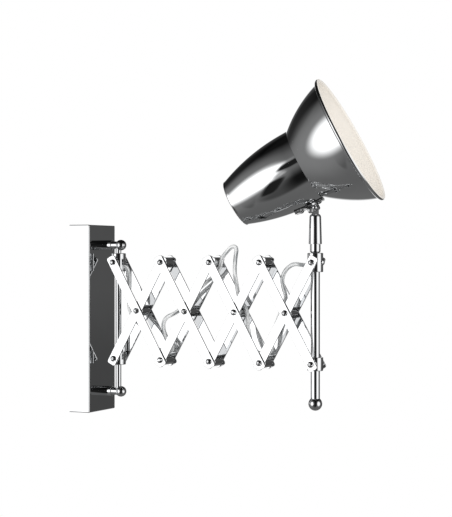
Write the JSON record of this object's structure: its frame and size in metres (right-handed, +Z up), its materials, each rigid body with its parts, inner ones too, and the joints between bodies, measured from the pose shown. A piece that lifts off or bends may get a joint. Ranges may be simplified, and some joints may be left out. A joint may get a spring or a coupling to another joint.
{
  "type": "adjustable wall lamp",
  "caption": "Chrome wall lamp: a box wall plate with an upright rod carries a scissor arm that swings and reaches out to a pole with a swivelling, tilting flared shade.",
  "frame": {"origin": "middle of the wall plate's back face, on the wall", "axes": "+X out of the wall into the room, +Z up, +Y away from the picture's viewer along the wall"},
  "size_m": [0.4335, 0.1749, 0.4408],
  "materials": {
    "chrome": "polished chrome plate on steel",
    "zinc_steel": "zinc-plated steel",
    "brass": "plain brass",
    "white_enamel": "white stove enamel inside the shade",
    "porcelain": "glazed white porcelain",
    "terminal_plastic": "moulded nylon",
    "clear_pvc": "clear flexible PVC over two conductors"
  },
  "bodies": {
    "wall_unit": {"wall_bracket": "zinc_steel", "wall_cover": "chrome", "cover_screws": "zinc_steel", "terminal_block": "terminal_plastic", "upper_post": "chrome", "lower_post": "chrome", "post_nuts": "zinc_steel"},
    "wall_swing": {"swing_rod": "chrome", "upper_wall_collar": "chrome", "upper_wall_pivots": "chrome"},
    "wall_slide": {"lower_wall_collar": "chrome", "lower_wall_pivots": "chrome"},
    "pole_slide": {"lower_pole_collar": "chrome", "lower_pole_pivots": "chrome"},
    "pole": {"pole_tube": "chrome", "upper_pole_collar": "chrome", "upper_pole_pivots": "chrome", "pole_collar_screw": "chrome", "ball_finial": "chrome", "swivel_spindle": "chrome", "cord_5": "clear_pvc"},
    "swivel": {"head_post": "chrome"},
    "head": {"head_bracket": "chrome", "bracket_screws": "chrome", "tilt_screw": "chrome", "head_nuts": "zinc_steel", "lamp_can": "chrome", "reflector_bowl": "chrome", "lampholder": "porcelain", "socket_shell": "brass", "centre_contact": "brass", "lampholder_nut": "brass"},
    "down_1": {"down_link_1_near": "chrome", "down_link_1_far": "chrome", "spacers_1": "chrome", "pivot_screws_1": "chrome", "cord_1": "clear_pvc"},
    "up_1": {"up_link_1_near": "chrome", "up_link_1_far": "chrome"},
    "down_2": {"down_link_2_near": "chrome", "down_link_2_far": "chrome", "spacers_2": "chrome", "pivot_screws_2": "chrome"},
    "up_2": {"up_link_2_near": "chrome", "up_link_2_far": "chrome", "cord_2": "clear_pvc"},
    "down_3": {"down_link_3_near": "chrome", "down_link_3_far": "chrome", "spacers_3": "chrome", "pivot_screws_3": "chrome", "cord_3": "clear_pvc"},
    "up_3": {"up_link_3_near": "chrome", "up_link_3_far": "chrome"},
    "down_4": {"down_link_4_near": "chrome", "down_link_4_far": "chrome", "spacers_4": "chrome", "pivot_screws_4": "chrome"},
    "up_4": {"up_link_4_near": "chrome", "up_link_4_far": "chrome", "cord_4": "clear_pvc"}
  },
  "joints": [
    {"name": "arm_swing", "type": "hinge", "parent": "wall_unit", "child": "wall_swing", "pos_m": [0.056, 0, 0], "axis": [0, 0, 1], "range_deg": [-75, 75]},
    {"name": "arm_reach", "type": "hinge", "parent": "wall_swing", "child": "down_1", "pos_m": [0.056, 0, 0.0765], "axis": [0, -1, 0], "range_deg": [-16, 21], "deforming": ["cord_1"]},
    {"name": "pivot_mid_1", "type": "hinge", "parent": "down_1", "child": "up_1", "pos_m": [0.092, 0, 0.01099], "axis": [0, -1, 0], "range_deg": [-42.5, 32.5]},
    {"name": "pivot_low_1", "type": "hinge", "parent": "up_1", "child": "wall_slide", "pos_m": [0.056, 0, -0.05452], "axis": [0, -1, 0], "range_deg": [-16.5, 21.5]},
    {"name": "pivot_low_2", "type": "hinge", "parent": "down_1", "child": "up_2", "pos_m": [0.128, 0, -0.05452], "axis": [0, -1, 0], "range_deg": [-42.5, 32.5], "deforming": ["cord_2"]},
    {"name": "pivot_mid_2", "type": "hinge", "parent": "up_2", "child": "down_2", "pos_m": [0.164, 0, 0.01099], "axis": [0, -1, 0], "range_deg": [-32.5, 42.5]},
    {"name": "pivot_top_3", "type": "hinge", "parent": "up_2", "child": "down_3", "pos_m": [0.2, 0, 0.0765], "axis": [0, -1, 0], "range_deg": [-32.5, 42.5], "deforming": ["cord_3"]},
    {"name": "pivot_mid_3", "type": "hinge", "parent": "down_3", "child": "up_3", "pos_m": [0.236, 0, 0.01099], "axis": [0, -1, 0], "range_deg": [-42.5, 32.5]},
    {"name": "pivot_low_4", "type": "hinge", "parent": "down_3", "child": "up_4", "pos_m": [0.272, 0, -0.05452], "axis": [0, -1, 0], "range_deg": [-42.5, 32.5], "deforming": ["cord_4"]},
    {"name": "pivot_mid_4", "type": "hinge", "parent": "up_4", "child": "down_4", "pos_m": [0.308, 0, 0.01099], "axis": [0, -1, 0], "range_deg": [-32.5, 42.5]},
    {"name": "pivot_low_5", "type": "hinge", "parent": "down_4", "child": "pole_slide", "pos_m": [0.344, 0, -0.05452], "axis": [0, -1, 0], "range_deg": [-21.5, 16.5]},
    {"name": "pivot_top_5", "type": "hinge", "parent": "up_4", "child": "pole", "pos_m": [0.344, 0, 0.0765], "axis": [0, -1, 0], "range_deg": [-16.5, 21.5], "deforming": ["cord_5"]},
    {"name": "head_swivel", "type": "hinge", "parent": "pole", "child": "swivel", "pos_m": [0.344, 0, 0.12], "axis": [0, 0, 1], "range_deg": [-90, 90]},
    {"name": "head_tilt", "type": "hinge", "parent": "swivel", "child": "head", "pos_m": [0.344, 0, 0.1475], "axis": [0.1564, -0.9877, 0], "range_deg": [-70, 8]}
  ],
  "couplings": [
    {"joint": "pivot_mid_1", "follows": "arm_reach", "ratio": -2},
    {"joint": "pivot_low_1", "follows": "arm_reach", "ratio": 1},
    {"joint": "pivot_low_2", "follows": "arm_reach", "ratio": -2},
    {"joint": "pivot_mid_2", "follows": "arm_reach", "ratio": 2},
    {"joint": "pivot_top_3", "follows": "arm_reach", "ratio": 2},
    {"joint": "pivot_mid_3", "follows": "arm_reach", "ratio": -2},
    {"joint": "pivot_low_4", "follows": "arm_reach", "ratio": -2},
    {"joint": "pivot_mid_4", "follows": "arm_reach", "ratio": 2},
    {"joint": "pivot_low_5", "follows": "arm_reach", "ratio": -1},
    {"joint": "pivot_top_5", "follows": "arm_reach", "ratio": 1}
  ]
}
